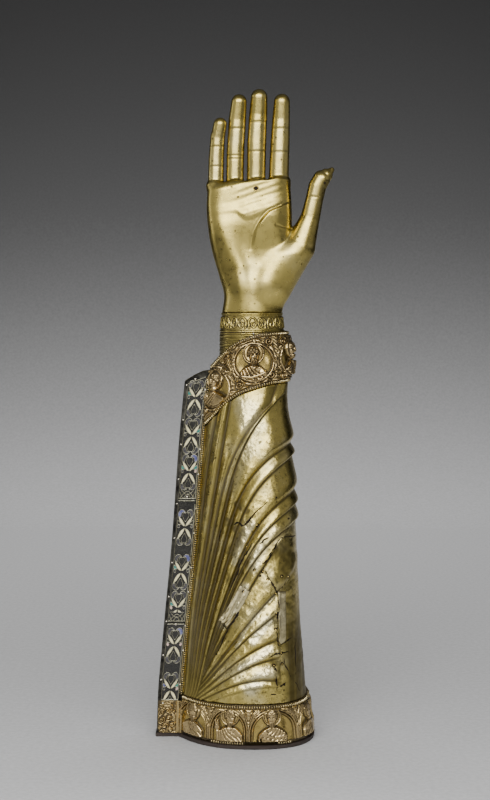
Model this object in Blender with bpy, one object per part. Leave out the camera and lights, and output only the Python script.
"""Arm reliquary: an open right hand rising from a wide draped sleeve, in gilt silver over an oak foot.

Blender 4.5 script. The palm faces -Y, the thumb points to +X, +Z is up, and the origin is the middle
of the underside of the oak foot. Every length in the tables and functions is in millimetres; add_mesh
turns them into metres.
"""

import math

import bpy
import numpy as np

MM = 0.001
GAP = 0.3  # between pieces that touch on the real work
FOOT_THICKNESS = 3.0
FOOT_OVERHANG = 1.8
FOOT_BEVEL = 0.5
STRIP_WIDTH = 19.5
STRIP_CORNER = 1.2
BAND_BOTTOM = FOOT_THICKNESS + GAP
BAND_TOP = 34.0
BAND_RECESS = 1.2  # how far the sleeve is let in under both embossed bands
WALL_GAP = 0.9  # between a band's inner wall and the sleeve, which is only faceted
BAND_GROUND = 1.0  # how far their plain ground stands proud of the smooth sleeve
WALL_STEPS = (0.0, 0.33, 0.67, 1.0)  # levels, bottom to top, shared by a band's inner wall and the sleeve
BAND_START = 3.03  # just past the strip's inner edge, as sleeve_plan counts it
RIM_DROP = 3.0  # the closed mouth of the sleeve lies this far below the cuff's upper edge
WRIST_HEIGHT = 337.0
HAND_TOP = 510.0

# Outline of the sleeve against height: left and right limits, foremost face, where that face is, strip face.
LEFT_EDGE = ((0, -70.5), (30, -69.5), (80, -65.3), (156, -58.0), (244, -51.3), (290, -46.5), (325, -42.0))
RIGHT_EDGE = (
    (0, 54.0), (34, 49.0), (60, 46.8), (90, 44.3), (150, 41.3), (204, 38.6), (240, 35.4), (262, 32.6),
    (285, 33.8), (305, 34.2), (325, 31.8),
)
FRONT_FACE = (
    (0, -45.0), (34, -43.0), (90, -40.0), (156, -36.5), (220, -33.0), (270, -29.5), (300, -26.5),
    (325, -22.5),
)
FRONT_LINE = ((0, 7.0), (150, 9.0), (325, 7.0))
STRIP_FACE = ((0, -11.5), (325, -7.5))

# The slanting mouth of the sleeve and the lower edge of its cuff band, as heights against X.
RIM = (
    (-48, 282.5), (-37.6, 288.6), (-31, 291.5), (-26.6, 294.5), (-17.9, 304.0), (-10, 311.8), (0, 317.3),
    (13, 321.1), (34, 322.4),
)
HEM = (
    (-33, 246.2), (-25, 254.6), (-17.9, 262.9), (-10.8, 269.4), (-3.9, 273.9), (7.7, 278.2), (19.3, 281.4),
    (34, 282.8),
)

# The folds fan out from one place near the foot of the strip. One row per crease, from the strip round to
# the level: its angle from upright, how far it runs, its angle there, the ridge beyond it, its own level,
# and whether it dies away at its end instead of running on round the side.
FAN_FOOT = (-53.0, 20.0)
CREASES = (
    (5.8, 250, 5.7, 1.0, 0.0, False),
    (6.9, 250, 7.7, 3.0, 0.0, False),
    (9.5, 255, 9.6, 2.6, 0.0, False),
    (11.3, 245, 14.9, 3.0, 1.4, False),
    (12.9, 255, 16.6, 3.3, 0.2, False),
    (15.2, 234, 22.8, 2.9, 0.0, False),
    (17.5, 225, 23.9, 2.8, 0.2, False),
    (21.2, 203, 27.8, 2.8, 0.0, False),
    (22.8, 193, 29.4, 2.5, 0.3, False),
    (24.6, 181, 31.4, 2.6, 0.2, False),
    (28.5, 150, 29.5, 2.6, 0.0, True),
    (35.3, 128, 37.5, 2.6, 0.0, True),
    (38.4, 112, 42.5, 2.5, 0.2, True),
    (43.0, 100, 50.5, 2.6, 0.0, True),
    (48.0, 92, 57.5, 2.5, 0.1, True),
    (53.0, 85, 68.0, 1.4, 0.0, True),
    (61.0, 85, 71.5, 0.0, 0.0, True),
)
RIDGE_PLACE = 0.76  # each ridge leans over the crease on its right
CURL_LENGTH = 80.0
BACK_FOLDS = 0.75
SLEEVE_ROWS = 80
SLEEVE_TRIANGLES = 3300

# The embossed bands: bays all round, how far the strip's edges cut into the first and last, the raised
# edge's share of the height and its rise, then the fineness of the relief.
BASE_BAYS = 8
BASE_CUT = 4.0
CUFF_BAYS = 6
CUFF_CUT = 5.5
ROLLED_SHARE = 0.09
ROLLED_RISE = 1.7
BAND_ROWS = 34
BASE_COLUMNS = 260
BASE_TRIANGLES = 2100
CUFF_COLUMNS = 180
CUFF_TRIANGLES = 1400

# Plates on the strip: lower and upper heights at the outer and inner edge, inset, width, thickness.
PLAQUE_UPPER = ((190.0, 190.0), (281.5, 287.2), 2.6, 14.2, 1.5)
PLAQUE_MIDDLE = ((92.5, 92.5), (189.4, 189.4), 2.6, 14.2, 1.5)
PLAQUE_LOWER = ((29.4, 29.4), (91.2, 91.2), 2.4, 14.4, 1.5)
CORNER_MOUNT = ((BAND_BOTTOM, BAND_BOTTOM), (28.8, 28.8), 1.4, 15.8, 1.9)

# The under-sleeve, row by row: height, half width, half depth, middle X. The first row follows the mouth.
WRISTBAND = (
    (303.0, 25.4, 21.0, 5.6), (318.0, 25.4, 20.8, 5.6), (323.4, 25.0, 20.6, 5.6), (324.0, 25.8, 21.4, 5.6),
    (326.0, 25.7, 21.3, 5.6), (326.6, 24.7, 20.4, 5.6), (333.6, 23.9, 19.7, 5.6), (334.2, 24.7, 20.4, 5.6),
    (336.5, 24.4, 20.1, 5.5), (WRIST_HEIGHT, 23.8, 19.5, 5.5),
)
WRISTBAND_STEPS = 16

# The palm as a tapering slab: its edges, the depth of its front and back, and how square its section is.
PALM_LEFT = ((337, -18.0), (349, -16.4), (365, -20.2), (384, -25.6), (400, -28.6), (418, -30.0), (442, -28.6))
PALM_RIGHT = ((337, 29.2), (347, 28.4), (362, 32.0), (385, 36.4), (410, 36.8), (426, 36.2), (442, 34.6))
PALM_FRONT = ((337, 20.0), (352, 17.6), (385, 14.5), (410, 12.0), (430, 10.8), (444, 8.0))
PALM_BACK = ((337, 20.0), (352, 17.6), (385, 13.5), (420, 11.8), (444, 9.4))
PALM_SQUARENESS = ((337, 2.0), (360, 2.1), (400, 2.7), (444, 3.0))
PALM_TOP = 441.5
HAND_CELL = 1.1
HAND_TRIANGLES = 2200
# Mounds and hollows of the palm side: X, Z, half width, half height, turn in degrees, rise.
PALM_MOUNDS = (
    (-14, 376, 15, 36, 14, 4.0),
    (28, 384, 19, 32, -30, 5.5),
    (4, 429, 38, 12, -6, 1.8),
    (5, 404, 19, 20, -25, -3.0),
    (7, 362, 8, 26, 0, -1.6),
)
# Each finger from the little one on: its base, two joints and tip as (X, Y, Z, radius).
FINGERS = (
    ((-22.9, 2.0, 436, 6.2), (-22.4, 0.5, 456.6, 6.0), (-21.3, -0.8, 473, 5.7), (-19.3, -3.2, 483, 5.1)),
    ((-8.0, 2.0, 438, 6.9), (-7.4, 0.2, 463.6, 6.9), (-5.9, -1.2, 487, 6.8), (-4.6, -4.0, 500, 6.0)),
    ((8.6, 2.0, 438, 7.3), (9.1, 0.0, 468.3, 7.5), (10.3, -1.4, 491, 7.1), (11.0, -4.2, 503.6, 6.4)),
    ((26.2, 2.0, 438, 7.9), (27.3, 0.0, 468.3, 7.5), (28.1, -1.2, 487.2, 6.9), (28.7, -3.8, 500.2, 6.2)),
)
THUMB = (
    (24, -1, 358, 12.0), (41.6, -3, 388, 13.4), (50.2, -4, 411, 8.2), (55.6, -5, 434, 7.2),
    (60.4, -5.5, 443.6, 6.6), (66.4, -5.5, 448.6, 4.0),
)


def clear_scene():
    for leftover in list(bpy.data.objects):
        bpy.data.objects.remove(leftover, do_unlink=True)


def plain_material(name, colour, metallic, roughness):
    material = bpy.data.materials.new(name)
    material.use_nodes = True
    shader = material.node_tree.nodes["Principled BSDF"]
    shader.inputs["Base Color"].default_value = (*colour, 1.0)
    shader.inputs["Metallic"].default_value = metallic
    shader.inputs["Roughness"].default_value = roughness
    return material


def add_mesh(name, points, faces, material, sharp_degrees=35.0):
    mesh = bpy.data.meshes.new(name)
    mesh.from_pydata((np.asarray(points) * MM).tolist(), [], [list(map(int, face)) for face in faces])
    mesh.materials.append(material)
    mesh.shade_smooth()
    mesh.set_sharp_from_angle(angle=math.radians(sharp_degrees))
    piece = bpy.data.objects.new(name, mesh)
    bpy.context.scene.collection.objects.link(piece)
    return piece


def smooth_curve(x, knots):
    """A monotone cubic through (x, y) knots, level beyond both ends."""
    kx, ky = np.array(knots, float).T
    step = np.diff(kx)
    slope = np.diff(ky) / step
    turn = np.zeros(len(kx))
    both = slope[:-1] * slope[1:]
    turn[1:-1] = np.where(both > 0, 2 * both / np.where(both > 0, slope[:-1] + slope[1:], 1.0), 0.0)
    turn[0], turn[-1] = slope[0], slope[-1]
    x = np.clip(x, kx[0], kx[-1])
    i = np.clip(np.searchsorted(kx, x) - 1, 0, len(step) - 1)
    t = (x - kx[i]) / step[i]
    ends = ky[i] * (1 + 2 * t) * (1 - t) ** 2 + ky[i + 1] * t * t * (3 - 2 * t)
    return ends + step[i] * (turn[i] * t * (1 - t) ** 2 - turn[i + 1] * t * t * (1 - t))


def ease(t):
    t = np.clip(t, 0.0, 1.0)
    return t * t * (3 - 2 * t)


def sleeve_plan(u, z):
    """X and Y of the front half of the smooth sleeve. u runs from 0, the middle of the left edge, over
    the strip's corner (1), its face (2) and its inner edge (3) to the foremost line (4) and far right (5)."""
    left, right = smooth_curve(z, LEFT_EDGE), smooth_curve(z, RIGHT_EDGE)
    front, line = smooth_curve(z, FRONT_FACE), smooth_curve(z, FRONT_LINE)
    strip, inner = smooth_curve(z, STRIP_FACE), smooth_curve(z, LEFT_EDGE) + STRIP_WIDTH
    corner = STRIP_CORNER
    runs = (
        ((left, 0), (left, 0.4 * strip), (left, 0.7 * strip), (left, strip + corner)),
        ((left, strip + corner), (left, strip + 0.4), (left + 0.4, strip), (left + corner, strip)),
        ((left + corner, strip), (left + 7, strip), (left + 13, strip), (inner, strip)),
        ((inner, strip), (inner + 0.26 * (line - inner), strip + 0.7 * (front - strip)),
         (line - 0.45 * (line - inner), front), (line, front)),
        ((line, front), (line + 0.66 * (right - line), front), (right, 0.66 * front), (right, 0 * right)),
    )
    x, y = np.zeros(np.broadcast(u, z).shape), np.zeros(np.broadcast(u, z).shape)
    for index, run in enumerate(runs):
        t = np.clip(u - index, 0.0, 1.0)
        weights = ((1 - t) ** 3, 3 * t * (1 - t) ** 2, 3 * t * t * (1 - t), t**3)
        here = (u >= index) & ((u < index + 1) | (index == len(runs) - 1))
        x = np.where(here, sum(w * p[0] for w, p in zip(weights, run)), x)
        y = np.where(here, sum(w * p[1] for w, p in zip(weights, run)), y)
    return x, y


def height_on_sleeve(u, knots):
    """The height at which a line given as heights against X crosses each u."""
    z = np.full(np.shape(u), 290.0)
    for _ in range(8):
        z = smooth_curve(sleeve_plan(u, z)[0], knots)
    return z


def crease_angles(reach):
    """The angle of every crease, in degrees from upright, at each distance from the fan's foot."""
    angles = []
    for angle, length, end_angle, _ridge, _level, _dies in CREASES:
        spread = np.clip((30 - angle) / 10, 0, 1) * np.exp(-(reach - 25) / 22)
        curl = np.clip((reach - length + CURL_LENGTH) / CURL_LENGTH, 0, 1.15) ** 2.4
        angles.append(angle * (1 + spread) + (end_angle - angle) * curl)
    return np.maximum.accumulate(np.array(angles), axis=0)


def fold_height(x, z):
    """How far the drapery stands out over the smooth sleeve."""
    across, up = x - FAN_FOOT[0], z - FAN_FOOT[1]
    reach, angle = np.hypot(across, up), np.degrees(np.arctan2(across, up))
    angles = crease_angles(reach)
    height = np.zeros(np.shape(x))
    for index, row in enumerate(CREASES[:-1]):
        _angle, length, _end, ridge, level, dies = row
        t = (angle - angles[index]) / np.maximum(angles[index + 1] - angles[index], 1e-6)
        rising = level + (ridge - level) * ease(t / RIDGE_PLACE) ** 0.8
        next_level = CREASES[index + 1][4]
        falling = next_level + (ridge - next_level) * ease((1 - t) / (1 - RIDGE_PLACE)) ** 0.7
        fade = 1 - ease((reach - length + 4) / 14) if dies else 1.0
        height += np.where((t >= 0) & (t < 1), np.where(t < RIDGE_PLACE, rising, falling) * fade, 0.0)
    inner_edge = smooth_curve(z, LEFT_EDGE) + STRIP_WIDTH
    return height * np.minimum(1, reach / 130) ** 0.8 * ease((x - inner_edge) / 3)


def whole_loop(front_half):
    """Adds the mirrored back to rows of points that run from the left over the front to the right."""
    back = front_half[..., -2:0:-1, :] * (1, -1, 1)
    return np.concatenate([front_half, back], axis=-2)


def outward(grid):
    """Unit normals of a grid of points whose columns run from left over the front to the right."""
    along, up = np.gradient(grid, axis=1), np.gradient(grid, axis=0)
    normal = np.cross(along, up)
    return normal / np.linalg.norm(normal, axis=-1, keepdims=True)


def loft_faces(rows, columns):
    """Faces of a closed loft of mirrored loops, its two ends closed by a ladder from front to back."""
    faces = []
    for row in range(rows - 1):
        for column in range(columns):
            following = (column + 1) % columns
            base, above = row * columns, (row + 1) * columns
            faces.append((base + column, base + following, above + following, above + column))
    for start, flip in ((0, True), ((rows - 1) * columns, False)):
        for column in range(columns // 2):
            rung = [column, column + 1, (columns - column - 1) % columns, (columns - column) % columns]
            corners = [start + place for place in dict.fromkeys(rung)]
            if len(corners) > 2:
                faces.append(corners[::-1] if flip else corners)
    return faces


def add_loft(name, loops, material):
    rows, columns = loops.shape[:2]
    return add_mesh(name, loops.reshape(-1, 3), loft_faces(rows, columns), material)


def reduce_faces(piece, triangles):
    """Keeps about this many triangles, where the form needs them most."""
    few = piece.modifiers.new("few_faces", "DECIMATE")
    piece.data.calc_loop_triangles()
    few.ratio = triangles / len(piece.data.loop_triangles)
    return piece


def columns_of(counts):
    """Values of u with the given number of steps on each run of the plan."""
    steps = [index + np.arange(count) / count for index, count in enumerate(counts)]
    return np.concatenate([*steps, [len(counts)]])


def add_base_board(material):
    """The oak board that everything stands on, just wider than the sleeve."""
    u = columns_of((1, 2, 1, 10, 10))
    x, y = sleeve_plan(u, np.zeros(len(u)))
    on_strip = u < 2
    edge = ((0, FOOT_OVERHANG - FOOT_BEVEL), (FOOT_BEVEL, FOOT_OVERHANG), (FOOT_THICKNESS, FOOT_OVERHANG))
    rows = []
    for height, proud in edge:
        spread = np.where(on_strip, 1, 1 + proud / np.hypot(x, y))
        rows.append(np.stack([x * spread, y * spread, np.full(len(u), float(height))], axis=-1))
    return add_loft("base_board", whole_loop(np.array(rows)), material)


def add_sleeve(material):
    """The draped sleeve and its edge strip: let in under both bands, closed a little below the rim."""
    u = columns_of((1, 1, 1, 60, 46))
    rim, hem = height_on_sleeve(u, RIM), height_on_sleeve(u, HEM)
    on_strip = u < 3
    top = rim - np.where(on_strip, 0.0, RIM_DROP)
    hem = np.where(on_strip, np.minimum(hem, rim - 12), hem)
    levels = [np.full(len(u), BAND_BOTTOM), np.full(len(u), BAND_TOP + 0.2), np.full(len(u), BAND_TOP + 0.4)]
    rises = np.arange(1, SLEEVE_ROWS + 1) / SLEEVE_ROWS
    levels += [BAND_TOP + 0.4 + (hem - 1.0 - BAND_TOP) * rise for rise in rises]
    levels += [hem - 0.4] + [hem + (rim - hem) * step for step in WALL_STEPS[1:-1]] + [top]
    z = np.array(levels)
    x, y = sleeve_plan(u[None, :], z)
    smooth = np.stack([x, y, z], axis=-1)
    proud = fold_height(x, z)
    row = np.arange(len(z))[:, None]
    under_band = (row < 2) | (row >= len(z) - len(WALL_STEPS))
    proud = np.where(under_band & ~on_strip, -BAND_RECESS, np.where(on_strip, 0.0, proud))
    normal = outward(smooth) * (1, 1, 0)
    front = smooth + normal * proud[..., None]
    front[:, [0, -1], 1] = 0
    loops = whole_loop(front)
    back = np.s_[:, len(u):]
    calm = whole_loop(smooth)
    loops[back] = np.where(under_band[..., None], loops[back], calm[back] + (loops - calm)[back] * BACK_FOLDS)
    return reduce_faces(add_loft("sleeve", loops, material), SLEEVE_TRIANGLES)


def dome(x, y, cx, cy, rx, ry, height):
    return height * np.sqrt(np.clip(1 - ((x - cx) / rx) ** 2 - ((y - cy) / ry) ** 2, 0, 1))


def ring(x, y, cx, cy, radius, width, height):
    off = (np.hypot(x - cx, y - cy) - radius) / (0.5 * width)
    return height * np.sqrt(np.clip(1 - off * off, 0, 1))


def half_length_figure(x, y, cx, cy, size):
    """A haloed half-length figure in low relief: shoulders, head and halo."""
    parts = (
        dome(x, y, cx, cy - 9.5 * size, 9.0 * size, 9.5 * size, 2.4),
        dome(x, y, cx, cy + 1.5 * size, 4.4 * size, 5.4 * size, 3.2),
        ring(x, y, cx, cy + 2.0 * size, 7.4 * size, 2.6 * size, 1.0),
    )
    return np.maximum.reduce(parts)


def arcade_relief(s, h, bay, height):
    """The base band: a row of round arches on columns, a half-length figure in each."""
    x = s % bay
    spring = 0.5 * height
    arch = np.where(h >= spring, ring(x, h, bay / 2, spring, 0.4 * bay, 3.4, 1.5), 0)
    shaft = np.where(h < spring, dome(np.minimum(x, bay - x), 0 * h, 0, 0, 0.13 * bay, 1, 1.5), 0)
    leaf = dome(np.minimum(x, bay - x), h, 0, height - 6, 4.5, 5.5, 1.3)
    figure = half_length_figure(x, h, bay / 2, 0.5 * height, 0.85)
    return np.maximum.reduce([arch, shaft, leaf, figure])


def roundel_relief(s, h, bay, height):
    """The cuff band: a row of roundels with a bust in each, leafwork between them."""
    x = s % bay
    disc = ring(x, h, bay / 2, height / 2, 0.41 * height, 3.2, 1.6)
    side = np.minimum(x, bay - x)
    lower_leaf = dome(side, h, 0, 0.18 * height, 5.0, 6.0, 1.5)
    upper_leaf = dome(side, h, 0, 0.82 * height, 5.0, 6.0, 1.5)
    figure = half_length_figure(x, h, bay / 2, 0.5 * height, 0.8)
    return np.maximum.reduce([disc, lower_leaf, upper_leaf, figure])


def band_grid(half, z):
    """Smooth points of a band, from the strip's inner edge round the front, the far side and the back."""
    front = np.stack([*sleeve_plan(half[None, :], z), z], axis=-1)
    return np.concatenate([front, front[:, -2::-1] * (1, -1, 1)], axis=1)


def band_outside(half, low, high, relief, bays, cut):
    """The embossed face of a band: its ground, the relief bay by bay and a rolled edge above and below."""
    steps = np.linspace(0, 1, BAND_ROWS)[:, None]
    smooth = band_grid(half, low + (high - low) * steps)
    stretches = np.linalg.norm(np.diff(smooth[BAND_ROWS // 2], axis=0), axis=-1)
    along = np.concatenate([[0], np.cumsum(stretches)])
    height = np.linalg.norm(smooth[-1] - smooth[0], axis=-1)
    raised = relief(along + cut, steps * height, (along[-1] + 2 * cut) / bays, height)
    from_edge = np.minimum(steps, 1 - steps) / ROLLED_SHARE
    rolled = ROLLED_RISE * np.sqrt(np.clip(1 - (2 * from_edge - 1) ** 2, 0, 1))
    raised = np.where(from_edge < 1, rolled, raised)
    return smooth + outward(smooth) * (BAND_GROUND + raised)[..., None]


def grid_faces(rows, columns, start, flip):
    faces = []
    for row in range(rows - 1):
        for column in range(columns - 1):
            base = start + row * columns + column
            face = (base, base + 1, base + columns + 1, base + columns)
            faces.append(face[::-1] if flip else face)
    return faces


def add_band(name, edges, columns, relief, bays, cut, triangles, material):
    """An open embossed band round the sleeve from the strip's inner edge to the strip's back edge."""
    half = np.linspace(BAND_START, 5.0, columns // 2 + 1)
    low, high = (edge(half) for edge in edges)
    outer = band_outside(half, low, high, relief, bays, cut)
    wall = band_grid(half, low + (high - low) * np.array(WALL_STEPS)[:, None])
    inner = wall + outward(wall) * (WALL_GAP - BAND_RECESS)
    points = np.concatenate([outer.reshape(-1, 3), inner.reshape(-1, 3)])
    points[:, 2] = np.maximum(points[:, 2], BAND_BOTTOM)
    count = outer.shape[1]
    first_inner = BAND_ROWS * count
    last_inner = first_inner + (len(WALL_STEPS) - 1) * count
    faces = grid_faces(BAND_ROWS, count, 0, False) + grid_faces(len(WALL_STEPS), count, first_inner, True)
    for column in range(count - 1):
        under, top, over = first_inner + column, first_inner - count + column, last_inner + column
        faces.append((column + 1, column, under, under + 1))
        faces.append((top, top + 1, over + 1, over))
    outer_end, inner_end = range(0, first_inner, count), range(first_inner, last_inner + 1, count)
    last = count - 1
    faces.append([*outer_end, *reversed(inner_end)])
    faces.append([*(place + last for place in inner_end), *(place + last for place in reversed(outer_end))])
    return reduce_faces(add_mesh(name, points, faces, material, sharp_degrees=60.0), triangles)


def add_base_band(material):
    edges = (lambda half: np.full(len(half), BAND_BOTTOM), lambda half: np.full(len(half), BAND_TOP))
    return add_band(
        "base_band", edges, BASE_COLUMNS, arcade_relief, BASE_BAYS, BASE_CUT, BASE_TRIANGLES, material
    )


def add_cuff_band(material):
    edges = (lambda half: height_on_sleeve(half, HEM), lambda half: height_on_sleeve(half, RIM))
    return add_band(
        "cuff_band", edges, CUFF_COLUMNS, roundel_relief, CUFF_BAYS, CUFF_CUT, CUFF_TRIANGLES, material
    )


def strip_plate(name, low, high, inset, width, thickness, material):
    """A flat plate on the strip's face: its lower and upper heights at the outer and inner edges."""
    corners = []
    outer, inner = inset, inset + width
    for height, across in ((low[0], outer), (low[1], inner), (high[1], inner), (high[0], outer)):
        corners.append((smooth_curve(height, LEFT_EDGE) + across, smooth_curve(height, STRIP_FACE), height))
    back = np.array(corners) - (0, GAP, 0)
    front = back - (0, thickness, 0)
    faces = [(3, 2, 1, 0), (4, 5, 6, 7), (0, 1, 5, 4), (1, 2, 6, 5), (2, 3, 7, 6), (3, 0, 4, 7)]
    return add_mesh(name, np.concatenate([back, front]), faces, material)


def add_strip_plates(enamel, gilt):
    strip_plate("enamel_plaque_upper", *PLAQUE_UPPER, enamel)
    strip_plate("enamel_plaque_middle", *PLAQUE_MIDDLE, enamel)
    strip_plate("enamel_plaque_lower", *PLAQUE_LOWER, enamel)
    strip_plate("corner_mount", *CORNER_MOUNT, gilt)


def add_under_sleeve(material):
    """The close inner sleeve: standing in the mouth of the wide one, with a moulded wristband on top."""
    turn = np.linspace(math.pi, 0, WRISTBAND_STEPS + 1)
    rows = []
    for place, (height, half_width, half_depth, middle) in enumerate(WRISTBAND):
        x = middle + half_width * np.cos(turn)
        y = -half_depth * np.sin(turn)
        z = np.full(len(turn), height)
        mouth = smooth_curve(x, RIM) - RIM_DROP
        if place == 0:
            z = mouth + 3 * GAP
        if place == 1:
            z = np.maximum(z, mouth + 4 * GAP)
        rows.append(np.stack([x, y, z], axis=-1))
    return add_loft("under_sleeve", whole_loop(np.array(rows)), material)


def blend(first, second, softness):
    """The union of two distance fields with a rounded join."""
    share = np.clip(0.5 + 0.5 * (second - first) / softness, 0, 1)
    return second * (1 - share) + first * share - softness * share * (1 - share)


def limb(p, start, end, flat=1.0):
    """Distance to a tapering round limb between two (X, Y, Z, radius) joints, flattened front to back."""
    stretch = np.array([1.0, 1.0 / flat, 1.0])
    a, b = np.array(start[:3]) * stretch, np.array(end[:3]) * stretch
    q = p * stretch
    t = np.clip((q - a) @ (b - a) / ((b - a) @ (b - a)), 0, 1)
    radius = start[3] + t * (end[3] - start[3])
    return (np.linalg.norm(q - a - t[..., None] * (b - a), axis=-1) - radius) * min(1.0, flat)


def palm_relief(x, z):
    """How far the palm side rises over the plain slab at each X and Z."""
    rise = 0.0
    for cx, cz, rx, rz, turn, height in PALM_MOUNDS:
        c, s = math.cos(math.radians(turn)), math.sin(math.radians(turn))
        across, up = (x - cx) * c - (z - cz) * s, (x - cx) * s + (z - cz) * c
        rise = rise + height * np.exp(-2.0 * ((across / rx) ** 2 + (up / rz) ** 2))
    return rise


def hand_field(p):
    """Distance, near enough, to the surface of the open right hand, negative inside."""
    x, y, z = p[..., 0], p[..., 1], p[..., 2]
    left, right = smooth_curve(z, PALM_LEFT), smooth_curve(z, PALM_RIGHT)
    depth = np.where(y < 0, smooth_curve(z, PALM_FRONT) + palm_relief(x, z), smooth_curve(z, PALM_BACK))
    power = smooth_curve(z, PALM_SQUARENESS)
    across = np.abs(x - (left + right) / 2) / ((right - left) / 2)
    hand = ((across**power + (np.abs(y) / depth) ** power) ** (1 / power) - 1) * depth
    hand = -blend(-hand, PALM_TOP - z, 7.0)
    for start, end in zip(THUMB, THUMB[1:]):
        hand = blend(hand, limb(p, start, end), 5.0)
    bones = [pair for finger in FINGERS for pair in zip(finger, finger[1:])]
    fingers = np.minimum.reduce([limb(p, start, end, 0.94) for start, end in bones])
    hand = blend(hand, fingers, 2.0)
    return np.maximum(hand, WRIST_HEIGHT + GAP - z)


def surface_of(field, low, high, cell):
    """Naive surface nets: one point in every cell the surface crosses, one face for every crossed edge."""
    axes = [np.arange(start, stop + cell, cell) for start, stop in zip(low, high)]
    grid = np.stack(np.meshgrid(*axes, indexing="ij"), axis=-1)
    value = np.stack([field(layer) for layer in grid])
    inside = value < 0
    shape = np.array(value.shape) - 1
    weight, place = np.zeros(shape), np.zeros((*shape, 3))
    for axis in range(3):
        for shift in np.ndindex(2, 2):
            offset = np.insert(shift, axis, 0)
            a = tuple(slice(o, o + n) for o, n in zip(offset, shape))
            offset[axis] = 1
            b = tuple(slice(o, o + n) for o, n in zip(offset, shape))
            crossed = inside[a] != inside[b]
            t = np.where(crossed, value[a] / np.where(crossed, value[a] - value[b], 1), 0)
            weight += crossed
            place += np.where(crossed[..., None], grid[a] + t[..., None] * (grid[b] - grid[a]), 0)
    used = weight > 0
    number = np.full(shape, -1)
    number[used] = np.arange(used.sum())
    points = place[used] / weight[used][:, None]
    faces = []
    for axis in range(3):
        others = [other for other in range(3) if other != axis]
        inner = tuple(slice(None, -1) if k == axis else slice(1, -1) for k in range(3))
        nearer = inside[inner]
        farther = inside[tuple(slice(1, None) if k == axis else slice(1, -1) for k in range(3))]
        index = np.argwhere(nearer != farther)
        if not len(index):
            continue
        out = nearer[tuple(index.T)] == (axis != 1)
        index[:, others] += 1
        corners = []
        for shift in ((0, 0), (1, 0), (1, 1), (0, 1)):
            cells = index.copy()
            cells[:, others[0]] -= shift[0]
            cells[:, others[1]] -= shift[1]
            corners.append(number[tuple(cells.T)])
        quads = np.stack(corners, axis=-1)
        quads[~out] = quads[~out][:, ::-1]
        faces.append(quads)
    return points, np.concatenate(faces)


def add_hand(material):
    """The open right hand, sampled finely and then reduced to few faces."""
    low, high = (-36.0, -26.0, WRIST_HEIGHT - 2), (74.0, 26.0, HAND_TOP + 2)
    points, faces = surface_of(hand_field, low, high, HAND_CELL)
    return reduce_faces(add_mesh("hand", points, faces, material, sharp_degrees=70.0), HAND_TRIANGLES)


def main():
    clear_scene()
    oak = plain_material("dark_oak", (0.035, 0.022, 0.014), 0.0, 0.75)
    silver = plain_material("gilt_silver_sheet", (0.62, 0.53, 0.28), 1.0, 0.32)
    embossed = plain_material("embossed_gilt_silver", (0.60, 0.42, 0.20), 1.0, 0.38)
    enamel = plain_material("champleve_enamel", (0.16, 0.17, 0.17), 0.2, 0.3)
    add_base_board(oak)
    add_sleeve(silver)
    add_base_band(embossed)
    add_cuff_band(embossed)
    add_strip_plates(enamel, embossed)
    add_under_sleeve(silver)
    add_hand(silver)


main()
